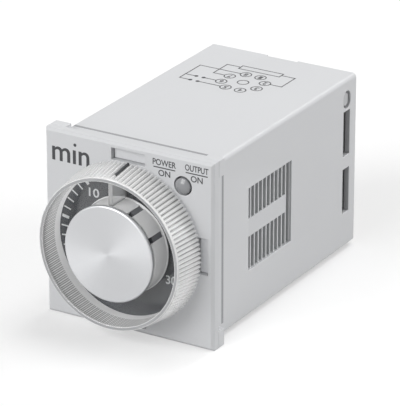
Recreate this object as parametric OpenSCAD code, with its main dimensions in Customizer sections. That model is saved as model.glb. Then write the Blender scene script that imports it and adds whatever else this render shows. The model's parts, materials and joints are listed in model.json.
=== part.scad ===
// Plug-in panel timer with a clear setting dial, millimetres.
// X runs to the right of the face, Y runs from the face to the plug and Z is up.
// The origin is under the middle of the whole part, level with the front plate's lower edge.

/* [Front plate] */
// Width of the front plate
plate_w = 36; // [34:0.5:42]
// Height of the front plate
plate_h = 37; // [36:0.5:44]
// Thickness of the front plate
plate_t = 2; // [1.8:0.1:3]
// Bevel round the plate's front edge
plate_bevel = 0.5; // [0.2:0.1:0.8]
// Length of the four latch tongues that show in the face
tongue_l = 6.9; // [5:0.1:9]
// Step of each latch hook over the plate
hook_step = 0.5; // [0.3:0.1:0.6]
// Thickness of the plate's rear skirt
skirt_t = 1.2; // [0.8:0.1:1.5]
// Radius of the indicator lens
lens_r = 1.55; // [1:0.05:1.8]
// Lens centre in from the plate's right edge
lens_side = 6.4; // [6:0.1:7.5]
// Lens centre below the plate's top edge
lens_down = 5.5; // [5:0.1:6.2]

/* [Case] */
// Step from the plate's edge in to the case wall
case_inset = 1.8; // [1.2:0.1:2.4]
// Wall of the case
case_wall = 1.5; // [1.2:0.1:2]
// Extra thickness of the case's roof
roof_extra = 0.4; // [0.1:0.1:0.8]
// Extra thickness of the case's floor
floor_extra = 1.2; // [0.2:0.1:1.6]
// Length of the case behind the plate
case_depth = 55; // [52:0.5:70]
// Radius along the case's long edges
case_corner_r = 0.8; // [0.3:0.1:1.4]
// Leg of each corner ear
ear_leg = 3.3; // [2.6:0.1:4.5]
// Thickness of each corner ear
ear_t = 2; // [1:0.1:3]
// Front of the vent field, behind the plate
vent_front = 13.8; // [8:0.1:20]
// Length of the vent field
vent_l = 16; // [12:0.5:20]
// Height of the vent field
vent_h = 16.5; // [12:0.1:20]
// Middle of the vent field below the plate's middle
vent_drop = 0.4; // [0:0.1:1]
// Depth of the vent field below the wall's face
vent_sink = 0.4; // [0.3:0.1:0.8]
// Plain band between the two rows of slots
vent_band = 3.6; // [2:0.1:4]
// Width of one vent slot
vent_slot_w = 1.05; // [0.6:0.05:1.1]
// Slots in each row
vent_slots = 11; // [6:1:12]
// Width of the two latch slots in each side
side_slot_w = 2.5; // [2:0.1:3]
// Height of each latch slot
side_slot_h = 9.2; // [6:0.1:9.5]
// Gap between the two latch slots
side_slot_gap = 2.7; // [2:0.1:4]
// Rear edge of the latch slots, in front of the case's rear edge
side_slot_rear = 2.4; // [1.8:0.1:3]
// Width of the oval hole above the latch slots
oval_w = 2.7; // [2:0.1:3.2]
// Height of the oval hole
oval_h = 3.6; // [3.3:0.1:4]
// Gap from the upper latch slot to the oval hole
oval_gap = 0.5; // [0.4:0.1:1]
// Width of the release notch in the rear top edge
notch_w = 6.7; // [4:0.1:10]
// Depth of the release notch
notch_deep = 0.5; // [0.3:0.1:0.8]

/* [Dial] */
// Radius over the ridges at the back of the dial
dial_r = 15.8; // [15:0.1:17]
// Radius over the ridges at the dial's front edge
dial_front_r = 14.8; // [14.6:0.1:15]
// Radius inside the dial's cup
cup_r = 14.1; // [13:0.1:14.2]
// Front edge of the dial ahead of the plate's face
dial_out = 7.2; // [6:0.1:10]
// Dial centre below the plate's middle
dial_drop = 0.4; // [0:0.1:1]
// Thickness of the dial's clear floor
floor_t = 0.8; // [0.6:0.1:1.2]
// Running gap between the dial and its scale
dial_gap = 0.3; // [0.2:0.05:0.6]
// Ridges round the dial
ridge_count = 112; // [60:4:120]
// Depth of the ridges
ridge_deep = 0.4; // [0.2:0.05:0.4]
// Radius of the hub
hub_r = 9.2; // [8:0.1:10]
// Wall of the clear hub
hub_wall = 1.2; // [0.8:0.1:1.6]
// Width of the slots in the hub's side
hub_slot_w = 1.1; // [0.6:0.1:1.5]
// Length of the slots in the hub's side
hub_slot_l = 4.2; // [2:0.1:4.4]
// Front of the core's ribs behind the hub's front edge
rib_back = 1; // [0.2:0.1:1.5]
// Thickness of the pointer fin
fin_t = 0.9; // [0.6:0.1:1.5]
// Front edge of the fin behind the dial's front edge
fin_back = 1.1; // [0.5:0.1:3]
// Radius of the metal cap
cap_r = 9.4; // [8:0.1:10]
// Thickness of the metal cap
cap_t = 0.8; // [0.6:0.1:1.2]
// Groove between the cap and the hub
cap_groove = 0.4; // [0.2:0.1:0.8]
// Radius of the scale disc
scale_r = 14.6; // [14.2:0.1:15]
// Thickness of the scale disc
scale_t = 0.3; // [0.2:0.05:0.5]

/* [Potentiometer] */
// Radius of the setting shaft
shaft_r = 3; // [2.5:0.1:3.2]
// Flat of the shaft from its axis
shaft_flat = 2.2; // [1.8:0.1:2.4]
// Length of the shaft inside the dial
shaft_grip = 3.4; // [2.5:0.1:4]
// Radius of the threaded bush
bush_r = 4; // [3.7:0.1:4.5]
// Length of the bush in front of the board
bush_l = 3; // [2.5:0.1:3.6]
// Thickness of the bush's nut
nut_t = 1.8; // [1.2:0.1:2.2]
// Radius of the potentiometer's housing
pot_r = 8; // [7.5:0.1:9]
// Depth of the potentiometer's housing
pot_deep = 7; // [6.5:0.1:9]
// Wall of the potentiometer's housing
pot_wall = 1; // [0.8:0.1:1.2]
// Thickness of the resistance track's disc
track_t = 1; // [0.8:0.1:1.5]
// Turn of the dial to each side of upright, in degrees
dial_turn = 120; // [90:5:130]

/* [Boards] */
// Thickness of every circuit board
board_t = 1.2; // [1:0.1:1.6]
// Gap from the plate to the front board
front_gap = 4; // [3.8:0.1:6]
// Gap from each side board to the case wall
side_gap = 2.1; // [1.6:0.1:2.4]
// Width of the ribs that guide the side boards
rib_w = 0.8; // [0.5:0.1:1]
// Height of the ribs that guide the side boards
rib_h = 1; // [0.6:0.1:1.4]

/* [Relay] */
// Radius of the coil's flanges
flange_r = 4.8; // [4.2:0.1:5.2]
// Height of the winding
coil_h = 8; // [6:0.1:8.5]
// Radius of the iron core
core_r = 2; // [1.5:0.1:2.2]
// Thickness of the iron yoke
yoke_t = 1.6; // [1.4:0.1:2]
// Thickness of the armature
armature_t = 1.2; // [0.8:0.1:1.4]
// Swing of the armature, in degrees
armature_swing = 3.5; // [2.5:0.1:5]

/* [Plug] */
// Radius of each plug pin
pin_r = 1.18; // [1:0.01:1.3]
// Radius of a pin's shank inside the base
shank_r = 0.9; // [0.7:0.05:0.95]
// Radius of a pin's solder tail
tail_r = 0.6; // [0.4:0.05:0.65]
// Diameter of the circle that the pins stand on
pin_circle = 17.45; // [16.5:0.05:18.5]
// Length of the pins behind the base
pin_l = 11; // [9:0.1:13]
// Radius of the guide post
post_r = 3.95; // [3.5:0.05:4.2]
// Length of the guide post behind the base
post_l = 14.3; // [13.5:0.1:16]
// Width of the post's key
key_w = 1.5; // [1.2:0.1:2]
// Height of the key over the post
key_h = 1.1; // [0.8:0.1:1.4]
// Thickness of the plug's base
base_t = 3; // [2.8:0.1:4]
// Rear face of the base inside the case's rear edge
base_sink = 0.5; // [0.3:0.1:0.8]

/* [Hidden] */
$fn = 64;

// Clearances: a moulded fit, a running fit and the reach of a cut past a face
fit = 0.15;
run = 0.05;
over = 1;

// Planes along Y, from the dial's front edge to the tip of the guide post
total_l = dial_out + plate_t + case_depth - base_sink + post_l;
rim_y = -total_l / 2;
face_y = rim_y + dial_out;
seat_y = face_y + plate_t;
rear_y = seat_y + case_depth;
scale_y = face_y - scale_t;
dial_y = scale_y - dial_gap;
floor_y = dial_y - floor_t;
cap_y = rim_y + cap_t;
front_board_y = seat_y + front_gap;
bay_y = front_board_y + board_t;
base_y = rear_y - base_sink - base_t;
base_skirt = side_slot_w;
plug_board_y = base_y - base_skirt - board_t;
bay_l = plug_board_y - bay_y;

// Sections across the part
mid_z = plate_h / 2;
dial_z = mid_z - dial_drop;
case_w = plate_w - 2 * case_inset;
case_h = plate_h - 2 * case_inset;
bay_w = case_w - 2 * case_wall;
bay_h = case_h - 2 * case_wall;
board_x = bay_w / 2 - side_gap - board_t / 2;
inner_x = board_x - board_t / 2;
board_h = bay_h - 2 * fit;
lens_x = plate_w / 2 - lens_side;
lens_z = plate_h - lens_down;
oval_z = mid_z + side_slot_gap / 2 + side_slot_h + oval_gap + oval_h / 2;
slot_y = rear_y - side_slot_rear - side_slot_w / 2;

// Dial
tongue_sink = 0.9;
peg_sink = 0.3;
latch_deep = 1.5;
lens_lip = 0.6;
lens_gap = 0.3;
lens_dome = 0.7;
lens_land = 0.1;
lamp_gap = 0.4;
hub_in_r = hub_r - hub_wall;
core_fit = 0.02;
fin_y = rim_y + fin_back;
hub_front_y = cap_y + cap_groove;
grip_y = floor_y - shaft_grip;
hub_slot_angles = [26, 64, 206, 244];
cap_edge = 0.2;

// Potentiometer
pot_front = 1.4;
stop_room = 1.6;
rotor_r = pot_r - pot_wall - stop_room;
rotor_t = 1.2;
rotor_play = 0.3;
rotor_y = bay_y + pot_front + rotor_play;
track_y = bay_y + pot_deep - track_t;
stop_half = 8;
stop_slack = 3;
track_cut = 1.2;
track_flat = pot_r - pot_wall - track_cut;
nut_wall = 1;
nut_r = bush_r + nut_wall;
pot_leg_w = 1;
pot_leg_t = 0.5;
pot_leg_pitch = 2.5;
pot_leg_l = 2.4;

// Relay, drawn standing on its base: up is away from the power board
relay_base_t = 1.5;
bobbin_flange_t = 0.8;
bobbin_wall = 0.6;
pole_t = 0.5;
pole_lip = 1;
pole_r = core_r + pole_lip;
winding_inset = 0.4;
coil_r = flange_r - winding_inset;
coil_z = relay_base_t + yoke_t + bobbin_flange_t;
pole_z = coil_z + coil_h + bobbin_flange_t + pole_t;
yoke_gap = 0.6;
yoke_y = flange_r + yoke_gap;
hinge_r = 0.5;
hinge_y = yoke_y + yoke_t / 2;
pole_gap = 0.1;
air_gap = (hinge_y + pole_r) * sin(armature_swing) + pole_gap;
hinge_z = pole_z + air_gap - hinge_r;
armature_z = pole_z + air_gap;
armature_trim = 0.6;
armature_w = 2 * (flange_r - armature_trim);
armature_lap = 2.6;
armature_l = hinge_y + pole_r + armature_lap;
blade_t = 0.3;
blade_w = 3;
blade_z = armature_z + armature_t;
blade_lap = 2.8;
blade_reach = armature_l - hinge_y + blade_lap;
button_r = 1;
button_t = 0.5;
button_y = button_r - blade_reach;
throw = (hinge_y - button_y) * sin(armature_swing) + fit;
strip_t = 0.4;
strip_w = 2.4;
strip_gap = 0.6;
strip_step = 1;
strip_y = -blade_reach - strip_gap - strip_t;
relay_lip = 0.9;
relay_front = relay_lip - strip_y;
relay_rear_lip = 1.3;
relay_back = hinge_y + yoke_t / 2 + relay_rear_lip;
relay_w = 14;
relay_tail = 1.2;
relay_gap = 1.6;
relay_y = plug_board_y - relay_gap - relay_back;
leaf_t = 0.3;
leaf_w = 4;

// Parts on the side boards
parts_gap = 2;
parts_y = bay_y + pot_deep + parts_gap;
can_r = 4;
can_l = 11;
film_l = 12;
film_w = 6;
film_h = 10;
chip_legs = 8;
chip_pitch = 2.54;
chip_end = 0.6;
chip_l = (chip_legs - 1) * chip_pitch + 2 * chip_end;
chip_w = 6.4;
chip_h = 3.3;
bridge_size = 6.5;
bridge_h = 3;
dropper_r = 2.4;
dropper_l = 14;
dropper_lift = 0.8;
lead_r = 0.35;
upper_z = mid_z + bay_h / 4;
lower_z = mid_z - bay_h / 4;

// Plug
pin_tip = 0.5;
tail_out = 1;
pin_tail = base_skirt + board_t + tail_out;
pin_angles = [for (i = [0:7]) 22.5 + 45 * i];
post_bevel = 0.6;

// Flat shape in X and Z, drawn out from y0 towards the plug
module along_y(y0, l) {
    translate([0, y0 + l, 0]) rotate([90, 0, 0]) linear_extrude(l) children();
}

// Round bar along Y
module rod_y(y0, l, r, x = 0, z = 0) {
    translate([x, y0, z]) rotate([-90, 0, 0]) cylinder(h = l, r = r);
}

// Turned piece along Y from y0: steps are its radii and how far along each one ends
module turned_y(y0, steps) {
    end = steps[len(steps) - 1];
    translate([0, y0, 0]) rotate([-90, 0, 0]) rotate_extrude()
        polygon([[0, 0], [steps[0][0], 0], each steps, [0, end[1]]]);
}

// Box centred on a point in X and Z, from y0 towards the plug
module bar_y(y0, l, w, h, x = 0, z = 0) {
    translate([x - w / 2, y0, z - h / 2]) cube([w, l, h]);
}

// Rectangle with round corners
module round_rect(w, h, r) {
    square([w - 2 * r, h], center = true);
    square([w, h - 2 * r], center = true);
    for (x = [-1, 1], y = [-1, 1])
        translate([x * (w / 2 - r), y * (h / 2 - r)]) circle(r = r);
}

// Rectangular ring
module frame_rect(w, h, t) {
    difference() {
        square([w, h], center = true);
        square([w - 2 * t, h - 2 * t], center = true);
    }
}

// Ring of a potentiometer between two radii and two angles from upright
module ring_part(r_in, r_out, from, to) {
    far = 2 * r_out;
    intersection() {
        difference() {
            circle(r = r_out);
            circle(r = r_in);
        }
        polygon([[0, 0], for (i = [0:6]) let (a = from + (to - from) * i / 6) far * [sin(a), cos(a)]]);
    }
}

// One shape at each of the four sides, turned so that Z points out of the side
module at_four_sides() {
    translate([0, 0, mid_z]) {
        for (s = [0, 180]) rotate([0, s, 0]) translate([0, 0, case_h / 2]) children();
        for (s = [90, 270]) rotate([0, s, 0]) translate([0, 0, case_w / 2]) children();
    }
}

// Plate with a bevelled front edge
module bevelled_plate() {
    b = plate_bevel;
    w = plate_w / 2;
    intersection() {
        linear_extrude(plate_h)
            polygon([[b - w, face_y], [w - b, face_y], [w, face_y + b], [w, seat_y],
                     [-w, seat_y], [-w, face_y + b]]);
        translate([-w, 0, 0]) rotate([90, 0, 90]) linear_extrude(plate_w)
            polygon([[face_y, b], [face_y + b, 0], [seat_y, 0], [seat_y, plate_h],
                     [face_y + b, plate_h], [face_y, plate_h - b]]);
    }
}

// Face moulding with its latch windows, lens hole, shaft hole and rear skirt
module front_plate() {
    window_l = tongue_l + 2 * fit;
    color("#C8C8CA") difference() {
        union() {
            bevelled_plate();
            translate([0, 0, mid_z]) along_y(seat_y - plate_t / 2, plate_t / 2 + front_gap)
                frame_rect(bay_w - 4 * fit, bay_h - 4 * fit, skirt_t);
        }
        at_four_sides() {
            translate([-window_l / 2, face_y - over, -case_wall - fit])
                cube([window_l, latch_deep + over, case_wall + hook_step + 2 * fit]);
            translate([-window_l / 2, face_y, -case_wall - fit])
                cube([window_l, plate_t + over, case_wall + 2 * fit]);
        }
        rod_y(face_y - over, plate_t + 2 * over, lens_r + lens_gap, lens_x, lens_z);
        rod_y(seat_y, front_gap + over, lens_r + 2 * lens_lip, lens_x, lens_z);
        rod_y(face_y - over, plate_t + 2 * over, bush_r + 2 * fit, 0, dial_z);
    }
}

// Dark disc that carries the time scale
module scale_plate() {
    color("#55565A") difference() {
        rod_y(scale_y, scale_t, scale_r, 0, dial_z);
        rod_y(scale_y - over, scale_t + 2 * over, shaft_r + 4 * fit, 0, dial_z);
    }
}

// Indicator lens, pushed in from behind against its flange
module led_lens() {
    rise = lens_dome - lens_land;
    sphere_r = (lens_r * lens_r + rise * rise) / (2 * rise);
    tip_y = face_y - lens_dome;
    color("#BEBEC0", 0.8) {
        rod_y(face_y, plate_t + lens_lip, lens_r, lens_x, lens_z);
        rod_y(seat_y, lens_lip, lens_r + lens_lip, lens_x, lens_z);
        intersection() {
            translate([lens_x, tip_y + sphere_r, lens_z]) sphere(r = sphere_r);
            rod_y(tip_y, lens_dome + plate_t / 2, lens_r, lens_x, lens_z);
        }
    }
}

// Vent field in one side: a shallow recess with two rows of slots and one long slot at the rear
module vent_cut() {
    row_h = (vent_h - vent_band) / 2;
    pitch = vent_l / vent_slots;
    wall_x = case_w / 2;
    vent_y = seat_y + vent_front;
    vent_z = mid_z - vent_drop;
    translate([wall_x - vent_sink, vent_y, vent_z - vent_h / 2]) cube([vent_sink + over, vent_l, vent_h]);
    for (i = [0:vent_slots - 2], z = [-vent_h / 2, vent_band / 2])
        translate([wall_x - case_wall - over, vent_y + (i + 0.5) * pitch - vent_slot_w / 2, vent_z + z])
            cube([case_wall + 2 * over, vent_slot_w, row_h]);
    translate([wall_x - case_wall - over, vent_y + vent_l - (pitch + vent_slot_w) / 2, vent_z - vent_h / 2])
        cube([case_wall + 2 * over, vent_slot_w, vent_h]);
}

// Latch slots and the oval hole near the rear of one side
module rear_side_cuts() {
    oval_r = oval_w / 2;
    for (s = [-1, 1])
        translate([bay_w / 2 - over, slot_y - side_slot_w / 2,
                   mid_z + s * (side_slot_gap + side_slot_h) / 2 - side_slot_h / 2])
            cube([case_wall + 2 * over, side_slot_w, side_slot_h]);
    translate([bay_w / 2 - over, slot_y, oval_z]) rotate([0, 90, 0])
        linear_extrude(case_wall + 2 * over) oval(oval_r, oval_h);
}

// Oval with straight sides, long along its first axis
module oval(r, l) {
    square([l - 2 * r, 2 * r], center = true);
    for (s = [-1, 1]) translate([s * (l / 2 - r), 0]) circle(r = r);
}

// Grooved ribs on the floor and roof of the case that guide one side board
module board_ribs() {
    root = case_wall / 2;
    for (s = [-1, 1], e = [-1, 1])
        bar_y(bay_y + fit, bay_l - 2 * fit, rib_w, rib_h + root,
              board_x + s * (board_t / 2 + fit + rib_w / 2), mid_z + e * (bay_h - rib_h + root) / 2);
}

// Housing: a square tube with corner ears, latch tongues, vents and board ribs
module case() {
    color("#D2D2D4") difference() {
        union() {
            translate([0, 0, mid_z]) difference() {
                union() {
                    translate([0, 0, (roof_extra - floor_extra) / 2]) along_y(seat_y, case_depth)
                        round_rect(case_w, case_h + roof_extra + floor_extra, case_corner_r);
                    for (x = [-1, 1], z = [-1, 1])
                        bar_y(seat_y, ear_t, ear_leg, ear_leg,
                              x * (plate_w - ear_leg) / 2, z * (plate_h - ear_leg) / 2);
                }
                bar_y(seat_y - over, case_depth + 2 * over, bay_w, bay_h);
            }
            at_four_sides() {
                translate([-tongue_l / 2, face_y + tongue_sink, -case_wall])
                    cube([tongue_l, plate_t - tongue_sink + case_wall, case_wall]);
                translate([-tongue_l / 2, face_y + tongue_sink, -case_wall])
                    cube([tongue_l, latch_deep - fit - tongue_sink, case_wall + hook_step]);
            }
            for (m = [0, 1]) mirror([m, 0, 0]) board_ribs();
        }
        for (m = [0, 1]) mirror([m, 0, 0]) {
            vent_cut();
            rear_side_cuts();
        }
        bar_y(rear_y - notch_deep, notch_deep + over, notch_w, case_wall + over,
              0, mid_z + (case_h - case_wall + over) / 2);
    }
}

// Rear moulding: base, latch hooks, oval pegs and the keyed guide post
module plug_base() {
    w = bay_w - 2 * fit;
    h = bay_h - 2 * fit;
    hook_reach = case_wall - tongue_sink;
    peg_reach = case_wall - peg_sink;
    peg_r = oval_w / 2 - 3 * fit;
    color("#B4B4B6") difference() {
        union() {
            bar_y(base_y, base_t, w, h, 0, mid_z);
            translate([0, 0, mid_z]) along_y(base_y - base_skirt, base_skirt + base_t / 2)
                frame_rect(w, h, skirt_t);
            for (m = [0, 1]) mirror([m, 0, 0]) {
                for (s = [-1, 1])
                    bar_y(slot_y - side_slot_w / 2 + fit, side_slot_w - 2 * fit,
                          skirt_t + fit + hook_reach, side_slot_h - 2 * fit,
                          w / 2 - skirt_t + (skirt_t + fit + hook_reach) / 2,
                          mid_z + s * (side_slot_gap + side_slot_h) / 2);
                translate([w / 2 - skirt_t, slot_y, oval_z]) rotate([0, 90, 0])
                    linear_extrude(skirt_t + fit + peg_reach) oval(peg_r, oval_h - 6 * fit);
            }
            translate([0, 0, mid_z]) turned_y(base_y, [[post_r, base_t + post_l - post_bevel],
                                                       [post_r - post_bevel, base_t + post_l]]);
            bar_y(base_y, base_t + post_l - post_bevel, key_w, post_r + key_h,
                  0, mid_z - (post_r + key_h) / 2);
        }
        at_pins() rod_y(base_y - over, base_t + 2 * over, shank_r + core_fit);
    }
}

// One shape at each pin's place on the circle
module at_pins() {
    for (a = pin_angles)
        translate([pin_circle / 2 * sin(a), 0, mid_z + pin_circle / 2 * cos(a)]) children();
}

// Eight plug pins: each a solder tail, a shank in the base and a pin with a bevelled tip
module plug_pins() {
    seat = pin_tail + base_t;
    color("#CDBE93") at_pins()
        turned_y(base_y - pin_tail, [
            [tail_r, pin_tail], [shank_r, pin_tail], [shank_r, seat],
            [pin_r, seat], [pin_r, seat + pin_l - pin_tip], [pin_r - pin_tip, seat + pin_l]
        ]);
}

// Board behind the plate, with the bush hole and the lamp's lead holes
module front_board() {
    color("#3F6B4A") difference() {
        bar_y(front_board_y, board_t, bay_w - 2 * fit, board_h, 0, mid_z);
        rod_y(front_board_y - over, board_t + 2 * over, bush_r + fit, 0, dial_z);
        for (s = [-1, 1])
            rod_y(front_board_y - over, board_t + 2 * over, lead_r + run, lens_x + s * lens_r / 2, lens_z);
    }
}

// Board along one side of the case
module side_board(x) {
    bar_y(bay_y, bay_l, board_t, board_h, x, mid_z);
}

// Board with the timing circuit, on the left
module control_board() {
    color("#3F6B4A") difference() {
        side_board(-board_x);
        for (s = [0, 1])
            translate([-board_x, parts_y + dropper_r / 2 + s * (dropper_l - dropper_r), lower_z])
                rotate([0, 90, 0]) cylinder(h = 2 * board_t, r = lead_r + run, center = true);
    }
}

// Board with the supply and the relay, on the right
module power_board() {
    color("#3F6B4A") difference() {
        side_board(board_x);
        on_power_board() for (x = [0, 1]) relay_strip_slot(x, fit);
    }
}

// Board that the plug pins are soldered to
module plug_board() {
    color("#3F6B4A") difference() {
        bar_y(plug_board_y, board_t, bay_w - 2 * fit, board_h, 0, mid_z);
        at_pins() rod_y(plug_board_y - over, board_t + 2 * over, tail_r + run);
    }
}

// Lamp behind the lens, standing on the front board
module indicator_led() {
    r = lens_r - fit;
    body_l = front_gap - r - lens_lip - lamp_gap;
    color("#E2E2DC") {
        rod_y(front_board_y - body_l, body_l, r, lens_x, lens_z);
        translate([lens_x, front_board_y - body_l, lens_z]) sphere(r = r);
        for (s = [-1, 1])
            rod_y(front_board_y - body_l / 2, body_l / 2 + board_t, lead_r, lens_x + s * lens_r / 2, lens_z);
    }
}

// Potentiometer housing: a cup with its threaded bush and its turn stop
module pot_body() {
    in_r = pot_r - pot_wall;
    stop_from = dial_turn + stop_half + stop_slack;
    leg_w = 2 * pot_leg_pitch + pot_leg_w + 2 * fit;
    color("#8E8E90") difference() {
        union() {
            difference() {
                rod_y(bay_y, pot_deep, pot_r, 0, dial_z);
                rod_y(bay_y + pot_front, pot_deep, in_r, 0, dial_z);
            }
            translate([0, 0, dial_z]) along_y(bay_y + pot_front, track_y - bay_y - pot_front)
                ring_part(rotor_r + 2 * fit, in_r + fit, stop_from, 360 - stop_from);
            rod_y(front_board_y - bush_l, bush_l + board_t + pot_front, bush_r, 0, dial_z);
        }
        rod_y(front_board_y - bush_l - over, bush_l + board_t + pot_front + 2 * over, shaft_r + run, 0, dial_z);
        bar_y(track_y, track_t + over, leg_w, pot_r, 0, dial_z - pot_r);
    }
}

// Disc with the resistance track, closing the housing, flat where the terminals leave it
module pot_track() {
    color("#4A3526") difference() {
        rod_y(track_y, track_t, pot_r - pot_wall - core_fit, 0, dial_z);
        bar_y(track_y - over, track_t + 2 * over, 2 * pot_r, pot_r, 0, dial_z - track_flat - pot_r / 2);
    }
}

// Three terminals from the track to the front board
module pot_terminals() {
    leg_y = track_y + (track_t - pot_leg_t) / 2;
    top_z = dial_z - track_flat;
    foot_z = dial_z - pot_r - pot_leg_l;
    color("#C9C9CC") for (i = [-1:1]) {
        bar_y(leg_y, pot_leg_t, pot_leg_w, top_z - foot_z, i * pot_leg_pitch, (top_z + foot_z) / 2);
        bar_y(bay_y, leg_y - bay_y + pot_leg_t, pot_leg_w, pot_leg_t,
              i * pot_leg_pitch, foot_z + pot_leg_t / 2);
    }
}

// Hexagon nut on the bush
module pot_nut() {
    color("#B9B9BC") difference() {
        translate([0, front_board_y - nut_t, dial_z]) rotate([-90, 0, 0])
            cylinder(h = nut_t, r = nut_r / cos(30), $fn = 6);
        rod_y(front_board_y - nut_t - over, nut_t + 2 * over, bush_r + core_fit, 0, dial_z);
    }
}

// Setting shaft, with a flat where the dial grips it
module pot_shaft() {
    color("#C0C0C2") difference() {
        rod_y(grip_y, rotor_y + rotor_t - grip_y, shaft_r, 0, dial_z);
        bar_y(grip_y - over, shaft_grip + floor_t + over, 2 * shaft_r, shaft_r,
              0, dial_z - shaft_flat - shaft_r / 2);
    }
}

// Rotor with its stop finger and the brush that sweeps the track
module pot_wiper() {
    brush_l = track_y - rotor_play - rotor_y - rotor_t;
    finger_r = pot_r - pot_wall - 2 * fit;
    color("#B08D4A") {
        difference() {
            rod_y(rotor_y, rotor_t, rotor_r, 0, dial_z);
            rod_y(rotor_y - over, rotor_t + 2 * over, shaft_r, 0, dial_z);
        }
        translate([0, 0, dial_z]) {
            along_y(rotor_y, rotor_t) ring_part(rotor_r - fit, finger_r, -stop_half, stop_half);
            along_y(rotor_y, rotor_t + brush_l)
                ring_part(shaft_r + fit, rotor_r, -2 * stop_half, 2 * stop_half);
        }
    }
}

// Outline of the ridged skirt: a crest and a root for each ridge
function ridge_points(r) = [
    for (i = [0:ridge_count - 1], p = [[-0.3, -ridge_deep], [-0.16, 0], [0.16, 0], [0.3, -ridge_deep]])
        let (a = 360 / ridge_count * (i + 0.5 + p[0])) (r + p[1]) * [sin(a), cos(a)]
];

// Clear dial: ridged cup, hub and pointer fin in one moulding
module dial_knob() {
    skirt_l = dial_y - rim_y;
    root = floor_t / 2;
    color("#E6E8EA", 0.45) difference() {
        union() {
            difference() {
                translate([0, dial_y, dial_z]) rotate([90, 0, 0])
                    linear_extrude(skirt_l, scale = dial_front_r / dial_r) polygon(ridge_points(dial_r));
                rod_y(rim_y - over, floor_y - rim_y + over, cup_r, 0, dial_z);
            }
            difference() {
                rod_y(hub_front_y, floor_y - hub_front_y + root, hub_r, 0, dial_z);
                rod_y(hub_front_y - over, floor_y - hub_front_y + over, hub_in_r, 0, dial_z);
                for (a = hub_slot_angles)
                    translate([0, hub_front_y - over, dial_z]) rotate([0, a, 0])
                        translate([-hub_slot_w / 2, 0, hub_in_r - hub_wall])
                            cube([hub_slot_w, hub_slot_l + over, 3 * hub_wall]);
            }
            bar_y(fin_y, floor_y - fin_y + root, fin_t, cup_r - hub_r + 2 * fit,
                  0, dial_z + (cup_r + hub_r) / 2);
        }
        rod_y(floor_y - over, floor_t + 2 * over, shaft_r + run, 0, dial_z);
    }
}

// Opaque core inside the hub: ribs fill the hub's slots, and a flatted bore grips the shaft
module dial_core() {
    color("#4A4A4C") difference() {
        union() {
            rod_y(cap_y, floor_y - cap_y, hub_in_r - core_fit, 0, dial_z);
            for (a = hub_slot_angles)
                translate([0, hub_front_y, dial_z]) rotate([0, a, 0])
                    translate([core_fit - hub_slot_w / 2, rib_back, hub_in_r - hub_wall])
                        cube([hub_slot_w - 2 * core_fit, hub_slot_l - rib_back - core_fit, 2 * hub_wall - fit]);
        }
        difference() {
            rod_y(grip_y - fit, floor_y - grip_y + fit + over, shaft_r + core_fit, 0, dial_z);
            bar_y(grip_y - over, shaft_grip + 2 * over + fit, 3 * shaft_r, shaft_r,
                  0, dial_z - shaft_flat - core_fit - shaft_r / 2);
        }
    }
}

// Metal cap on the core, with a softened edge
module knob_cap() {
    color("#CFCFD1") translate([0, cap_y, dial_z]) rotate([90, 0, 0]) rotate_extrude()
        polygon([[0, 0], [cap_r, 0], [cap_r, cap_t - cap_edge], [cap_r - cap_edge, cap_t], [0, cap_t]]);
}

// Timing chip on the control board, with two rows of legs
module timer_chip() {
    chip_y = parts_y + chip_pitch;
    lift = 0.5;
    leg_w = 0.5;
    leg_t = 0.3;
    color("#2B2B2D") {
        translate([lift - inner_x, chip_y, upper_z - chip_w / 2]) cube([chip_h, chip_l, chip_w]);
        for (s = [-1, 1], i = [0:chip_legs - 1])
            translate([-inner_x, chip_y + chip_l / 2 + (i - (chip_legs - 1) / 2) * chip_pitch - leg_w / 2,
                       upper_z + s * chip_w / 2 - leg_t])
                cube([lift + chip_h / 2, leg_w, 2 * leg_t]);
    }
}

// Bridge rectifier on the control board
module rectifier() {
    color("#2B2B2D") translate([-inner_x, parts_y + chip_pitch, mid_z - bridge_size / 2])
        cube([bridge_h, bridge_size, bridge_size]);
}

// Dropper resistor on two leads over the control board
module dropper_resistor() {
    x = -inner_x + dropper_lift + dropper_r;
    color("#8FA9B5") {
        rod_y(parts_y, dropper_l, dropper_r, x, lower_z);
        for (s = [0, 1])
            translate([-board_x, parts_y + dropper_r / 2 + s * (dropper_l - dropper_r), lower_z])
                rotate([0, 90, 0]) cylinder(h = x + board_x, r = lead_r);
    }
}

// Smoothing capacitor on the power board, with its crimp groove
module smoothing_capacitor() {
    groove = 0.3;
    groove_z = 1.5;
    color("#34506E") translate([inner_x, parts_y + can_r, upper_z]) rotate([0, -90, 0]) rotate_extrude()
        polygon([[0, 0], [can_r, 0], [can_r, groove_z], [can_r - groove, groove_z + groove],
                 [can_r, groove_z + 2 * groove], [can_r, can_l - groove], [can_r - groove, can_l], [0, can_l]]);
}

// Film capacitor on the power board
module line_capacitor() {
    color("#C8A832") translate([inner_x - film_h, parts_y, lower_z - film_w / 2])
        cube([film_h, film_l, film_w]);
}

// Stands a relay piece on the power board
module on_power_board() {
    translate([inner_x, relay_y, mid_z]) rotate([0, -90, 0]) children();
}

// Relay base
module relay_base() {
    color("#2F3A4A") on_power_board() difference() {
        translate([-relay_w / 2, -relay_front, 0]) cube([relay_w, relay_front + relay_back, relay_base_t]);
        for (x = [0, 1]) relay_strip_slot(x, core_fit);
    }
}

// Iron yoke: foot under the coil and an upright with the armature's half-round seat
module relay_yoke() {
    w = armature_w;
    color("#7B7D80") on_power_board() difference() {
        union() {
            translate([-w / 2, -pole_r, relay_base_t]) cube([w, yoke_y + yoke_t + pole_r, yoke_t]);
            translate([-w / 2, yoke_y, relay_base_t]) cube([w, yoke_t, hinge_z - relay_base_t]);
        }
        translate([-w / 2 - over, hinge_y, hinge_z]) rotate([0, 90, 0])
            cylinder(h = w + 2 * over, r = hinge_r + run);
        cylinder(h = pole_z, r = core_r + core_fit);
    }
}

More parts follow.
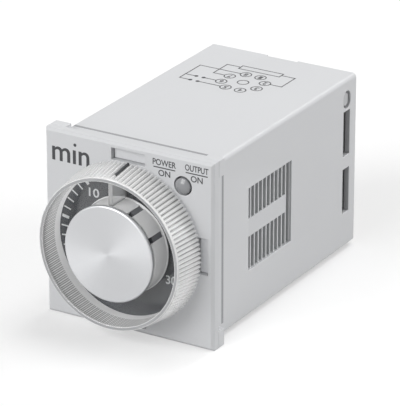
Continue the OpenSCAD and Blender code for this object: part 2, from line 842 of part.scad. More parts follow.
// Iron core with its pole face
module relay_core() {
    color("#8A8C90") on_power_board() {
        translate([0, 0, relay_base_t]) cylinder(h = pole_z - relay_base_t, r = core_r);
        translate([0, 0, pole_z - pole_t]) cylinder(h = pole_t, r = pole_r);
    }
}

// Spool that the coil is wound on
module relay_bobbin() {
    top = coil_z + coil_h;
    color("#E4DFD0") on_power_board() difference() {
        union() {
            translate([0, 0, coil_z - bobbin_flange_t]) cylinder(h = bobbin_flange_t, r = flange_r);
            translate([0, 0, coil_z - bobbin_flange_t])
                cylinder(h = coil_h + 2 * bobbin_flange_t, r = core_r + bobbin_wall);
            translate([0, 0, top]) cylinder(h = bobbin_flange_t, r = flange_r);
        }
        cylinder(h = pole_z, r = core_r + core_fit);
    }
}

// Winding, drawn as one smooth sleeve of wire
module relay_coil() {
    color("#B4662F") on_power_board() translate([0, 0, coil_z]) difference() {
        cylinder(h = coil_h, r = coil_r);
        translate([0, 0, -over]) cylinder(h = coil_h + 2 * over, r = core_r + bobbin_wall + core_fit);
    }
}

// Place of one contact strip across the relay: the lower contact's, then the upper one's
function strip_x(i) = i == 0 ? -blade_w / 2 : blade_w / 2 + strip_step;

// Slot for a contact strip, through the relay base and the board
module relay_strip_slot(i, gap) {
    translate([strip_x(i) - gap, strip_y - gap, -board_t - over])
        cube([strip_w + 2 * gap, strip_t + 2 * gap, board_t + relay_base_t + 2 * over]);
}

// Fixed contacts: one under the moving contact and one over it
module relay_contacts() {
    low_z = blade_z - button_t - throw - button_t - strip_t;
    high_z = blade_z + blade_t + button_t + fit + button_t;
    heights = [low_z, high_z];
    arm_l = button_y + button_r - strip_y;
    foot_z = -board_t - relay_tail / 2;
    color("#C98F5A") on_power_board() for (i = [0, 1]) {
        translate([strip_x(i), strip_y, foot_z]) cube([strip_w, strip_t, heights[i] + strip_t - foot_z]);
        translate([min(strip_x(i), -blade_w / 2), strip_y, heights[i]])
            cube([strip_x(i) + strip_w + blade_w / 2, arm_l, strip_t]);
        translate([0, button_y, heights[i] - i * button_t])
            cylinder(h = strip_t + button_t, r = button_r);
    }
}

// Leaf spring behind the yoke that opens the armature
module relay_spring() {
    leaf_y = yoke_y + yoke_t;
    leaf_z = relay_base_t + yoke_t + coil_h / 2;
    top_z = blade_z + 2 * fit;
    color("#D8D2B8") on_power_board() {
        translate([-leaf_w / 2, leaf_y, leaf_z]) cube([leaf_w, leaf_t, top_z + leaf_t - leaf_z]);
        translate([-leaf_w / 2, hinge_y - yoke_t, top_z]) cube([leaf_w, leaf_y - hinge_y + yoke_t + leaf_t, leaf_t]);
    }
}

// Armature: iron plate with the round knuckle that it rocks on
module relay_armature() {
    w = armature_w;
    rear = hinge_y + hinge_r;
    color("#94969A") on_power_board() {
        translate([-w / 2, hinge_y - armature_l, armature_z]) cube([w, rear - hinge_y + armature_l, armature_t]);
        translate([-w / 2, hinge_y, hinge_z]) rotate([0, 90, 0]) cylinder(h = w, r = hinge_r);
        translate([-w / 2, hinge_y - hinge_r / 2, hinge_z]) cube([w, hinge_r, armature_z - hinge_z + armature_t / 2]);
    }
}

// Contact blade on the armature, with a button on each face
module moving_contact() {
    color("#CFA560") on_power_board() {
        translate([-blade_w / 2, -blade_reach, blade_z]) cube([blade_w, blade_reach - pole_r / 2, blade_t]);
        translate([0, button_y, blade_z - button_t]) cylinder(h = blade_t + 2 * button_t, r = button_r);
    }
}

front_plate();
scale_plate();
led_lens();
case();
plug_base();
plug_pins();
front_board();
control_board();
power_board();
plug_board();
indicator_led();
pot_body();
pot_track();
pot_terminals();
pot_nut();
pot_shaft();
pot_wiper();
dial_knob();
dial_core();
knob_cap();
timer_chip();
rectifier();
dropper_resistor();
smoothing_capacitor();
line_capacitor();
relay_base();
relay_yoke();
relay_core();
relay_bobbin();
relay_coil();
relay_contacts();
relay_spring();
relay_armature();
moving_contact();
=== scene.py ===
import json
import math

import bmesh
import bpy
from mathutils import Matrix, Vector
from mathutils.bvhtree import BVHTree


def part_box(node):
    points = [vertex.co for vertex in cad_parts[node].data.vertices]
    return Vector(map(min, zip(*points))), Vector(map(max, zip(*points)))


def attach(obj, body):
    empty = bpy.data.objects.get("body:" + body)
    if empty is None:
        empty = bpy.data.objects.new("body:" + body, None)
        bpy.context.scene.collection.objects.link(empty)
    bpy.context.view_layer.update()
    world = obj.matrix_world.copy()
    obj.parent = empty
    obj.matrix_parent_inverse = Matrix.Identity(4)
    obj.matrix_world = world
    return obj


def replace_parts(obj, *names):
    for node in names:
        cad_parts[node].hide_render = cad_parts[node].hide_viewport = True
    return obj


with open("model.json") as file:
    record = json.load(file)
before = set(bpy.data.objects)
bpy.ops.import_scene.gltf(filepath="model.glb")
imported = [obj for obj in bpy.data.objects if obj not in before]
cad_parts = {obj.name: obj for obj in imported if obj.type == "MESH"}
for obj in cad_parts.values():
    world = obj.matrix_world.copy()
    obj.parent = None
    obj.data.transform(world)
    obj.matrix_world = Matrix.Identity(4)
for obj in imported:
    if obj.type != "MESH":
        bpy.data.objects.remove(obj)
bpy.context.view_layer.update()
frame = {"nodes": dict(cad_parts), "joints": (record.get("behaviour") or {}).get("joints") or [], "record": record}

bl_info = {
    "name": "Plug-in Panel Timer",
    "version": (1, 0, 0),
    "blender": (4, 5, 0),
    "location": "View3D > Sidebar > Timer",
    "description": "Finishes a plug-in panel timer with a clear dial and sets up its picture",
    "category": "Object",
}

# Scene units are metres, and the sizes below are millimetres times this
MM = 0.001

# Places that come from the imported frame
NODES = frame["nodes"]
BODIES = frame["record"]["behaviour"]["bodies"]
BODY_OF = {node: body for body, nodes in BODIES.items() for node in nodes}
DIAL_JOINT = next(joint for joint in frame["joints"] if joint["name"] == "dial_turn")
DIAL_AXIS = Vector(DIAL_JOINT["pos_m"])
DIAL_TURN = math.radians(max(DIAL_JOINT["range_deg"]))
PLATE_LOW, PLATE_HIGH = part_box("front_plate")
KNOB_LOW, KNOB_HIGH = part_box("dial_knob")
SCALE_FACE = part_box("scale_plate")[0].y

# Directions
RIGHT = Vector((1, 0, 0))
BACK = Vector((0, 1, 0))
UP = Vector((0, 0, 1))

# Mesh clean-up: points this near are one, and faces this flat are one
MERGE = 0.001 * MM
FLAT = math.radians(0.5)

# Edges over the first angle shade as creases, and those over the second are rounded
CREASE = math.radians(12)
SHARP = math.radians(25)

# Printed ink stands this far proud of its surface and reaches this far into it
INK_PROUD = 0.02 * MM
INK_ROOT = 0.01 * MM

# Sides of a printed dot and of a printed ring
DOT_SIDES = 24
RING_SIDES = 32


def linear(hex_colour):
    """Linear RGBA of an sRGB colour such as #D0D1D3."""
    parts = [int(hex_colour[i:i + 2], 16) / 255 for i in (1, 3, 5)]
    return [p / 12.92 if p <= 0.04045 else ((p + 0.055) / 1.055) ** 2.4 for p in parts] + [1.0]


def number_prop(name, text, value, **kind):
    """A plain number that a user may change."""
    return bpy.props.FloatProperty(name=name, description=text, default=value, **kind)


def size_prop(name, text, millimetres):
    """A length that a user may change, given in millimetres."""
    return number_prop(name, text, millimetres * MM, unit="LENGTH", precision=6)


def colour_prop(name, text, hex_colour):
    """A colour that a user may change, given as an sRGB hex value."""
    return bpy.props.FloatVectorProperty(
        name=name, description=text, default=linear(hex_colour), size=4, subtype="COLOR", min=0, max=1)


class TimerHousingSettings(bpy.types.PropertyGroup):
    """Finish of the case, the face and the plug."""

    case_edge: size_prop("Case edge", "Rounding of the case's moulded edges", 0.09)
    plate_edge: size_prop("Plate edge", "Rounding of the front plate's edges", 0.10)
    base_edge: size_prop("Base edge", "Rounding of the plug base's edges", 0.15)
    grain: size_prop("Grain", "Width of the moulded plastic's fine grain", 0.35)
    case_colour: colour_prop("Case colour", "Light grey of the case", "#CFD0D2")
    plate_colour: colour_prop("Plate colour", "Light grey of the front plate", "#CDCED0")
    # Base colour: partly the plug base's own grey, partly painted shade, dark enough to shade the latch slots
    base_colour: colour_prop("Base colour", "Dark grey of the plug base", "#242528")
    # Seam colour: painted shadow, a grey that stands for the shade where the case meets the front plate
    seam_colour: colour_prop("Seam colour", "Grey of the shaded seam behind the front plate", "#96979A")
    peg_colour: colour_prop("Peg colour", "Pale paint on the ends of the base's oval pegs", "#B9BABC")
    ink_colour: colour_prop("Ink colour", "Dark grey of the printing", "#3A3B3E")
    lens_edge: size_prop("Lens edge", "Rounding of the indicator's lens", 0.05)
    lens_colour: colour_prop("Lens colour", "Grey tint of the indicator's lens", "#B4B5B8")


class TimerDialSettings(bpy.types.PropertyGroup):
    """Scale, dial and cap."""

    scale_end: bpy.props.IntProperty(
        name="Scale end", description="Last number of the scale", default=30)
    numbered: bpy.props.IntProperty(
        name="Numbered", description="Units from one number to the next", default=10)
    tick_in: size_prop("Tick inner radius", "Radius where the scale's ticks start", 12.7)
    tick_out: size_prop("Tick outer radius", "Radius where the scale's ticks end", 14.2)
    tick_w: size_prop("Tick width", "Width of a unit's tick", 0.3)
    tick_long_w: size_prop("Long tick width", "Width of every fifth tick", 0.6)
    numeral_r: size_prop("Numeral radius", "Radius of the numerals' centres", 10.9)
    numeral_h: size_prop("Numeral height", "Height of the numerals", 1.75)
    dot_r: size_prop("Dot radius", "Radius of the dots between numerals", 0.2)
    ridge_edge: size_prop("Ridge edge", "Rounding of the dial's ridges and rim", 0.05)
    lip_edge: size_prop("Lip edge", "Rounding of the dial's front lip", 0.14)
    cap_edge: size_prop("Cap edge", "Rounding of the cap's rim", 0.12)
    scale_colour: colour_prop("Scale colour", "Dark grey of the scale disc", "#434548")
    mark_colour: colour_prop("Mark colour", "White of the scale's marks", "#F4F4F2")
    cap_colour: colour_prop("Cap colour", "Satin metal of the cap", "#CACBCD")
    frost_colour: colour_prop("Frost colour", "Pale grey of the dial's frosted walls", "#FBFBFB")
    cup_colour: colour_prop("Cup colour", "Tint of the clear floor of the dial's cup", "#F6F7F8")
    lip_colour: colour_prop("Lip colour", "Grey of the flat front of the dial's lip", "#BCBDBF")
    core_colour: colour_prop("Core colour", "Dark grey of the core in the clear hub", "#6A6B6E")


class TimerStageSettings(bpy.types.PropertyGroup):
    """Camera, lamps and floor of the picture."""

    azimuth: number_prop(
        "Azimuth", "Camera's turn to the right of the face", math.radians(30.8), subtype="ANGLE")
    elevation: number_prop(
        "Elevation", "Camera's height over the horizon", math.radians(22.88), subtype="ANGLE")
    distance: size_prop("Distance", "Camera's distance from the point that it looks at", 643)
    lens: number_prop("Lens", "Focal length over a 36 mm sensor", 304.8, unit="CAMERA")
    target: bpy.props.FloatVectorProperty(
        name="Target", description="Point that the camera looks at",
        default=(3.26 * MM, -11.8 * MM, 19.15 * MM), subtype="XYZ", unit="LENGTH", precision=5)
    sky: number_prop("Sky", "Strength of the even light all round", 0.24)
    key_power: number_prop("Key power", "Watts of the lamp at the front, on the left", 25.0)
    side_power: number_prop("Side power", "Watts of the lamp on the right", 17.5)
    rim_power: number_prop("Rim power", "Watts of the small lamp behind, which lines the edges", 5.0)
    top_power: number_prop("Top power", "Watts of the lamp overhead", 8.0)
    floor_colour: colour_prop("Floor colour", "White of the floor", "#FFFFFF")
    bounce_colour: colour_prop("Bounce colour", "Grey that the floor throws at the object", "#B4B4B4")
    floor_white: number_prop(
        "Floor white", "Share of plain white in the floor that the camera sees", 0.35,
        subtype="FACTOR", min=0, max=1)


# Materials

def add_node(material, kind, settings=None, links=None):
    """Adds a node: settings name its values or inputs, and links its inputs with their source sockets."""
    node = material.node_tree.nodes.new("ShaderNode" + kind)
    for key, value in (settings or {}).items():
        if isinstance(key, str) and hasattr(node, key):
            setattr(node, key, value)
        else:
            node.inputs[key].default_value = value
    for key, source in (links or {}).items():
        material.node_tree.links.new(source, node.inputs[key])
    return node


def new_material(name):
    """An empty node material."""
    material = bpy.data.materials.new(name)
    material.use_nodes = True
    material.node_tree.nodes.clear()
    return material


def finish_material(material, socket):
    """Joins the last shader's socket to the material's output."""
    add_node(material, "OutputMaterial", links={"Surface": socket})
    return material


def grained(name, colour, roughness, grain, depth, spread=0.03, metallic=0.0, **sockets):
    """A surface with a fine grain: its width and height in metres, and how far its colour spreads."""
    patch = 40 * grain
    gloss_spread = 0.06
    material = new_material(name)
    place = add_node(material, "TexCoord").outputs["Object"]
    fine = add_node(
        material, "TexNoise", {"Scale": 1 / grain, "Detail": 3.0, "Roughness": 0.6}, {"Vector": place})
    broad = add_node(material, "TexNoise", {"Scale": 1 / patch, "Detail": 2.0}, {"Vector": place})
    darker = [channel * (1 - spread) for channel in colour[:3]] + [1.0]
    lighter = [min(channel * (1 + spread), 1.0) for channel in colour[:3]] + [1.0]
    both = add_node(
        material, "Math", {"operation": "ADD"}, {0: fine.outputs["Fac"], 1: broad.outputs["Fac"]})
    share = add_node(material, "Math", {"operation": "MULTIPLY", 1: 0.5}, {0: both.outputs[0]})
    tint = add_node(material, "Mix", {"data_type": "RGBA", 6: darker, 7: lighter}, {0: share.outputs[0]})
    gloss = add_node(
        material, "MapRange", {"To Min": roughness - gloss_spread, "To Max": roughness + gloss_spread},
        {"Value": fine.outputs["Fac"]})
    bump = add_node(
        material, "Bump", {"Strength": 0.5, "Distance": depth}, {"Height": fine.outputs["Fac"]})
    shader = add_node(material, "BsdfPrincipled", {"Metallic": metallic, **sockets}, {
        "Base Color": tint.outputs[2],
        "Roughness": gloss.outputs["Result"],
        "Normal": bump.outputs["Normal"],
    })
    return finish_material(material, shader.outputs["BSDF"])


def moulded_plastic(name, colour, grain):
    """ABS or phenolic from a spark-eroded mould: an even satin whose fine grain softens every highlight."""
    # The real grain is about 0.05 mm, too fine to show, so it is drawn coarser
    return grained(name, colour, roughness=0.42, grain=grain, depth=0.002 * MM, spread=0.025)


def printed_ink(name, colour):
    """Pad-printed ink or paint: a thin, slightly glossy film with small differences in cover."""
    return grained(name, colour, roughness=0.42, grain=0.25 * MM, depth=0.001 * MM, spread=0.06)


def spun_aluminium(colour):
    """Face-turned and anodised aluminium: rings too fine to see draw the lamps out into a soft wedge."""
    material = grained(
        "spun_anodised_aluminium", colour, roughness=0.36, grain=0.22 * MM, depth=0.002 * MM, spread=0.02,
        metallic=1.0, **{"Anisotropic": 0.6, "Anisotropic Rotation": 0.39})
    rings = add_node(material, "Tangent", {"direction_type": "RADIAL", "axis": "Y"})
    shader = material.node_tree.nodes["Principled BSDF"]
    material.node_tree.links.new(rings.outputs["Tangent"], shader.inputs["Tangent"])
    return material


def acrylic(name, colour, roughness, clear, through=0.0, glow=0.0, lines=None):
    """Moulded acrylic: polished it shows what is behind it, and frosted it glows pale with blurred depths.

    clear: the share that a view sees through. through: the share of the lamps' light that goes straight on
    to what lies behind. glow: the share that the frost scatters on. lines: the ridges, for their painted shade.
    """
    flow = 3 * MM
    flow_depth = 0.02 * MM
    material = new_material(name)
    place = add_node(material, "TexCoord").outputs["Object"]
    waves = add_node(material, "TexNoise", {"Scale": 1 / flow, "Detail": 1.0}, {"Vector": place})
    bump = add_node(
        material, "Bump", {"Strength": 0.15, "Distance": flow_depth}, {"Height": waves.outputs["Fac"]})
    solid = add_node(
        material, "BsdfPrincipled",
        {"Base Color": colour, "Roughness": roughness, "IOR": 1.49, "Transmission Weight": clear},
        {"Normal": bump.outputs["Normal"]})
    coloured = [solid.inputs["Base Color"]]
    last = solid.outputs["BSDF"]
    if glow:
        frost = add_node(material, "BsdfTranslucent", {"Color": colour})
        coloured.append(frost.inputs["Color"])
        mixed = add_node(material, "MixShader", {0: glow}, {1: last, 2: frost.outputs["BSDF"]})
        last = mixed.outputs["Shader"]
    if lines:
        tint = ridge_tint(material, place, colour, *lines)
        for socket in coloured:
            material.node_tree.links.new(tint, socket)
    if through:
        rays = add_node(material, "LightPath")
        lit = add_node(material, "Math", {"operation": "ADD", "use_clamp": True}, {
            0: rays.outputs["Is Shadow Ray"], 1: rays.outputs["Is Diffuse Ray"]})
        share = add_node(material, "Math", {"operation": "MULTIPLY", 1: through}, {0: lit.outputs[0]})
        beyond = add_node(material, "BsdfTransparent", {"Color": colour})
        mixed = add_node(
            material, "MixShader", links={0: share.outputs[0], 1: last, 2: beyond.outputs["BSDF"]})
        last = mixed.outputs["Shader"]
    return finish_material(material, last)


def ridge_tint(material, place, colour, count, deep, bands):
    """Painted shade: a colour darker where the dial's ridges shade or bend the light, from its rim down to a
    depth.

    A band says where it starts and ends, in ridge pitches from a valley's middle, and its tint at both.
    """
    fade = 0.2 * MM
    end = KNOB_LOW.y - DIAL_AXIS.y + deep
    across = add_node(material, "VectorMath", {"operation": "SUBTRACT", 1: DIAL_AXIS}, {0: place})
    parts = add_node(material, "SeparateXYZ", links={0: across.outputs[0]})
    turn = add_node(
        material, "Math", {"operation": "ARCTAN2"}, {0: parts.outputs["X"], 1: parts.outputs["Z"]})
    steps = add_node(
        material, "Math", {"operation": "MULTIPLY", 1: count / math.tau}, {0: turn.outputs[0]})
    off = add_node(material, "Math", {"operation": "PINGPONG", 1: 0.5}, {0: steps.outputs[0]})
    share = add_node(
        material, "MapRange", {"From Min": end - fade, "From Max": end + fade},
        {"Value": parts.outputs["Y"]})
    for start, stop, first, last in bands:
        band = add_node(
            material, "MapRange",
            {"From Min": start, "From Max": stop, "To Min": first, "To Max": last},
            {"Value": off.outputs[0]})
        share = add_node(
            material, "Math", {"operation": "MAXIMUM"}, {0: share.outputs[0], 1: band.outputs[0]})
    tint = add_node(
        material, "Mix", {"data_type": "RGBA", 6: (0, 0, 0, 1), 7: colour}, {0: share.outputs[0]})
    return tint.outputs[2]


def plated_metal(name, colour, roughness):
    """Plated or drawn metal: bright, with a faint grain that spreads its highlights a little."""
    return grained(
        name, colour, roughness, grain=0.3 * MM, depth=0.001 * MM, spread=0.04, metallic=1.0)


def glass_epoxy():
    """Glass-epoxy board: green resin over a woven cloth whose threads show faintly."""
    thread = 0.5 * MM
    # A wave texture of scale 1 repeats about every 0.31 units, so this one repeats every two threads
    scale = 1 / (6.3 * thread)
    material = new_material("glass_epoxy_laminate")
    place = add_node(material, "TexCoord").outputs["Object"]
    warp, weft = (
        add_node(
            material, "TexWave", {"Scale": scale, "bands_direction": way, "Distortion": 0.4},
            {"Vector": place})
        for way in ("Y", "Z"))
    weave = add_node(
        material, "Math", {"operation": "MULTIPLY"}, {0: warp.outputs["Fac"], 1: weft.outputs["Fac"]})
    tint = add_node(
        material, "Mix", {"data_type": "RGBA", 6: linear("#2A4A34"), 7: linear("#355C41")},
        {0: weave.outputs[0]})
    shader = add_node(material, "BsdfPrincipled", {"Roughness": 0.45}, {"Base Color": tint.outputs[2]})
    return finish_material(material, shader.outputs["BSDF"])


def seen_share(tree_owner):
    """Socket that is 1 where the camera, metal or clear plastic looks, and 0 for light on other things."""
    rays = add_node(tree_owner, "LightPath")
    seen = add_node(tree_owner, "Math", {"operation": "ADD"}, {
        0: rays.outputs["Is Camera Ray"], 1: rays.outputs["Is Glossy Ray"]})
    seen = add_node(tree_owner, "Math", {"operation": "ADD", "use_clamp": True}, {
        0: seen.outputs[0], 1: rays.outputs["Is Transmission Ray"]})
    return seen.outputs[0]


# Making pieces

def finished(name, bm, material, body):
    """Turns a bmesh into a piece of the object that rides on a body."""
    mesh = bpy.data.meshes.new(name)
    bm.to_mesh(mesh)
    bm.free()
    mesh.shade_smooth()
    mesh.set_sharp_from_angle(angle=CREASE)
    mesh.materials.append(material)
    piece = bpy.data.objects.new(name, mesh)
    bpy.context.scene.collection.objects.link(piece)
    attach(piece, body)
    return piece


def merged(node):
    """A bmesh of a CAD node with its loose triangles joined and its flat faces whole."""
    bm = bmesh.new()
    bm.from_mesh(NODES[node].data)
    bmesh.ops.remove_doubles(bm, verts=bm.verts, dist=MERGE)
    bmesh.ops.dissolve_limit(bm, angle_limit=FLAT, verts=bm.verts, edges=bm.edges)
    return bm


def soften(bm, edge):
    """Rounds every sharp edge of a bmesh."""
    sharp = [e for e in bm.edges if e.calc_face_angle(0.0) > SHARP]
    bmesh.ops.bevel(
        bm, geom=sharp, offset=edge, offset_type="OFFSET", segments=2, profile=0.5,
        affect="EDGES", material=-1, clamp_overlap=False, loop_slide=False)
    return bm


def softened_node(node, material, edge):
    """A copy of a CAD node with rounded edges, which stands for the node."""
    piece = finished("soft_" + node, soften(merged(node), edge), material, BODY_OF[node])
    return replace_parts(piece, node)


def paint(node, material):
    """Gives a CAD node its material."""
    data = NODES[node].data
    data.materials.clear()
    data.materials.append(material)


def skin_at(node, start, direction):
    """Where a ray first meets a CAD node's surface."""
    bm = bmesh.new()
    bm.from_mesh(NODES[node].data)
    point = BVHTree.FromBMesh(bm).ray_cast(start, direction)[0]
    bm.free()
    if point is None:
        raise RuntimeError(f"the ray misses {node}")
    return point


def plane(origin, right, up):
    """Matrix that lays a flat drawing on a plane: its X runs along right and its Y along up."""
    matrix = Matrix((right, up, right.cross(up))).transposed().to_4x4()
    matrix.translation = origin
    return matrix


# Flat drawings, made on the XY plane

def add_bar(bm, x, y, w, h, turn=0.0):
    """A rectangle centred on a point, turned clockwise about it."""
    place = Matrix.Translation((x, y, 0)) @ Matrix.Rotation(-turn, 4, "Z")
    bmesh.ops.create_grid(
        bm, x_segments=1, y_segments=1, size=0.5, matrix=place @ Matrix.Diagonal((w, h, 1, 1)))


def add_dot(bm, x, y, r):
    """A round dot."""
    bmesh.ops.create_circle(
        bm, cap_ends=True, segments=DOT_SIDES, radius=r, matrix=Matrix.Translation((x, y, 0)))


def add_ring(bm, x, y, r, line):
    """A circle drawn with a line of that width inside its radius."""
    made = bmesh.ops.create_circle(
        bm, cap_ends=True, segments=RING_SIDES, radius=r, matrix=Matrix.Translation((x, y, 0)))
    disc = made["verts"][0].link_faces[0]
    bmesh.ops.inset_individual(bm, faces=[disc], thickness=line)
    bmesh.ops.delete(bm, geom=[disc], context="FACES")


def add_word(bm, text, x, y, w, h, weight=0.0):
    """A word in a plain sans letter, w wide and h high, centred on a point."""
    curve = bpy.data.curves.new("word", "FONT")
    curve.body = text
    curve.offset = weight
    holder = bpy.data.objects.new("word", curve)
    bpy.context.scene.collection.objects.link(holder)
    bpy.context.view_layer.update()
    mesh = bpy.data.meshes.new_from_object(holder)
    low = Vector((min(v.co[i] for v in mesh.vertices) for i in (0, 1)))
    high = Vector((max(v.co[i] for v in mesh.vertices) for i in (0, 1)))
    middle = (low + high) / 2
    scale = Matrix.Diagonal((w / (high.x - low.x), h / (high.y - low.y), 1, 1))
    mesh.transform(Matrix.Translation((x, y, 0)) @ scale @ Matrix.Translation((-middle.x, -middle.y, 0)))
    bm.from_mesh(mesh)
    bpy.data.objects.remove(holder)
    bpy.data.curves.remove(curve)
    bpy.data.meshes.remove(mesh)


def printed(name, bm, where, material, body):
    """Gives a flat drawing the thickness of ink and lays it on a plane."""
    bmesh.ops.translate(bm, vec=(0, 0, -INK_ROOT), verts=bm.verts)
    raised = bmesh.ops.extrude_face_region(bm, geom=bm.faces[:])["geom"]
    top = [v for v in raised if isinstance(v, bmesh.types.BMVert)]
    bmesh.ops.translate(bm, vec=(0, 0, INK_ROOT + INK_PROUD), verts=top)
    bmesh.ops.transform(bm, matrix=where, verts=bm.verts)
    bmesh.ops.recalc_face_normals(bm, faces=bm.faces)
    return finished(name, bm, material, body)


# Operators

class TIMER_OT_case(bpy.types.Operator):
    """Finish the case and the plug."""

    bl_idname = "timer.case"
    bl_label = "Finish case and plug"

    # The base's oval pegs end outside this half width and above this height
    peg_x = 15.0 * MM
    peg_z = 29.5 * MM

    # Painted seam shadow behind the front plate: its width, how far it stands proud and in, and half its length
    seam_w = 0.6 * MM
    seam_proud = 0.03 * MM
    seam_root = 0.2 * MM
    seam_half = 15.6 * MM

    def execute(self, context):
        look = context.scene.timer_housing
        shell = moulded_plastic("moulded_abs_case", look.case_colour, look.grain)
        softened_node("case", shell, look.case_edge)
        # Partly painted shade: the base is made dark so that the latch slots over its hooks look shaded
        dark = moulded_plastic("moulded_phenolic_base_and_slot_shade", look.base_colour, look.grain)
        base = softened_node("plug_base", dark, look.base_edge)
        base.data.materials.append(printed_ink("pale_peg_paint", look.peg_colour))
        for face in base.data.polygons:
            face.material_index = int(abs(face.center.x) > self.peg_x and face.center.z > self.peg_z)
        nickel = plated_metal("nickel_plated_brass", linear("#C9C4B4"), roughness=0.33)
        paint("plug_pins", nickel)
        self.add_seam(look)
        return {"FINISHED"}

    def add_seam(self, look):
        """A painted shadow: a thin grey strip round the case where it meets the front plate."""
        middle = (PLATE_LOW + PLATE_HIGH) / 2
        middle.y = PLATE_HIGH.y + self.seam_w / 2
        bm = bmesh.new()
        for way in (RIGHT, -RIGHT, UP, -UP):
            skin = skin_at("case", middle + way * (PLATE_HIGH - PLATE_LOW).length, -way)
            out = abs((skin - middle).dot(way)) + self.seam_proud
            deep = self.seam_proud + self.seam_root
            run = UP if way.x else RIGHT
            size = run * (2 * self.seam_half) + BACK * self.seam_w + Vector(abs(c) for c in way) * deep
            place = Matrix.Translation(middle + way * (out - deep / 2)) @ Matrix.Diagonal((*size, 1))
            bmesh.ops.create_cube(bm, size=1, matrix=place)
        # The strip's grey is painted shadow, standing for the shade where the case meets the plate
        shade = moulded_plastic("painted_seam_shadow_material", look.seam_colour, look.grain)
        finished("painted_seam_shadow", bm, shade, "housing")


class TIMER_OT_face(bpy.types.Operator):
    """Finish the front plate and print its words."""

    bl_idname = "timer.face"
    bl_label = "Finish face"

    # Unit of the scale, from the plate's lower left corner, and the round dot over its dotless i
    unit_x = 5.63 * MM
    unit_z = 32.3 * MM
    unit_w = 8.1 * MM
    unit_h = 2.75 * MM
    tittle_x = 6.58 * MM
    tittle_z = 34.69 * MM
    tittle_r = 0.32 * MM

    # Lamp legends: a word, a shorter word under it, and the place of the rule between them
    legends = (("POWER", "ON", 25.7 * MM, 34.1 * MM), ("OUTPUT", "ON", 32.5 * MM, 34.3 * MM))
    word_w = 4.9 * MM
    word_h = 1.2 * MM
    short_w = 2.5 * MM
    row_gap = 1.0 * MM
    rule_w = 4.6 * MM
    rule_h = 0.2 * MM
    weight = 0.012

    def execute(self, context):
        look = context.scene.timer_housing
        plastic = moulded_plastic("moulded_abs_plate", look.plate_colour, look.grain)
        softened_node("front_plate", plastic, look.plate_edge)
        ink = printed_ink("dark_grey_ink", look.ink_colour)
        face = plane(PLATE_LOW, RIGHT, UP)
        unit = bmesh.new()
        add_word(unit, "mın", self.unit_x, self.unit_z, self.unit_w, self.unit_h, self.weight)
        add_dot(unit, self.tittle_x, self.tittle_z, self.tittle_r)
        printed("unit_print", unit, face, ink, "housing")
        legend = bmesh.new()
        for word, short, x, z in self.legends:
            add_word(legend, word, x, z + self.row_gap, self.word_w, self.word_h, self.weight)
            add_bar(legend, x, z, self.rule_w, self.rule_h)
            add_word(legend, short, x, z - self.row_gap, self.short_w, self.word_h, self.weight)
        printed("lamp_legend_print", legend, face, ink, "housing")
        return {"FINISHED"}


class TIMER_OT_scale(bpy.types.Operator):
    """Finish the scale disc and print its ticks and numbers."""

    bl_idname = "timer.scale"
    bl_label = "Finish scale"

    # Ticks from one long tick to the next, the widths of two digits and of one, and their added weight
    tick_group = 5
    numeral_w = 2.24 * MM
    digit_w = 0.95 * MM
    weight = 0.015

    def execute(self, context):
        look = context.scene.timer_dial
        # Lacquered metal: an even dark satin with hardly any grain
        lacquer = grained(
            "dark_lacquered_disc", look.scale_colour, roughness=0.5, grain=0.12 * MM, depth=0.0002 * MM)
        paint("scale_plate", lacquer)
        marks = bmesh.new()
        for unit in range(look.scale_end + 1):
            turn = DIAL_TURN * (2 * unit / look.scale_end - 1)
            across = Vector((math.sin(turn), math.cos(turn)))
            grouped = unit % self.tick_group == 0
            width = look.tick_long_w if grouped else look.tick_w
            middle = across * (look.tick_in + look.tick_out) / 2
            add_bar(marks, middle.x, middle.y, width, look.tick_out - look.tick_in, turn)
            spot = across * look.numeral_r
            if unit % look.numbered == 0:
                width = self.numeral_w if unit else self.digit_w
                add_word(marks, str(unit), spot.x, spot.y, width, look.numeral_h, self.weight)
            elif grouped:
                add_dot(marks, spot.x, spot.y, look.dot_r)
        middle = Vector((DIAL_AXIS.x, SCALE_FACE, DIAL_AXIS.z))
        white = printed_ink("white_ink", look.mark_colour)
        printed("scale_print", marks, plane(middle, RIGHT, UP), white, "housing")
        return {"FINISHED"}


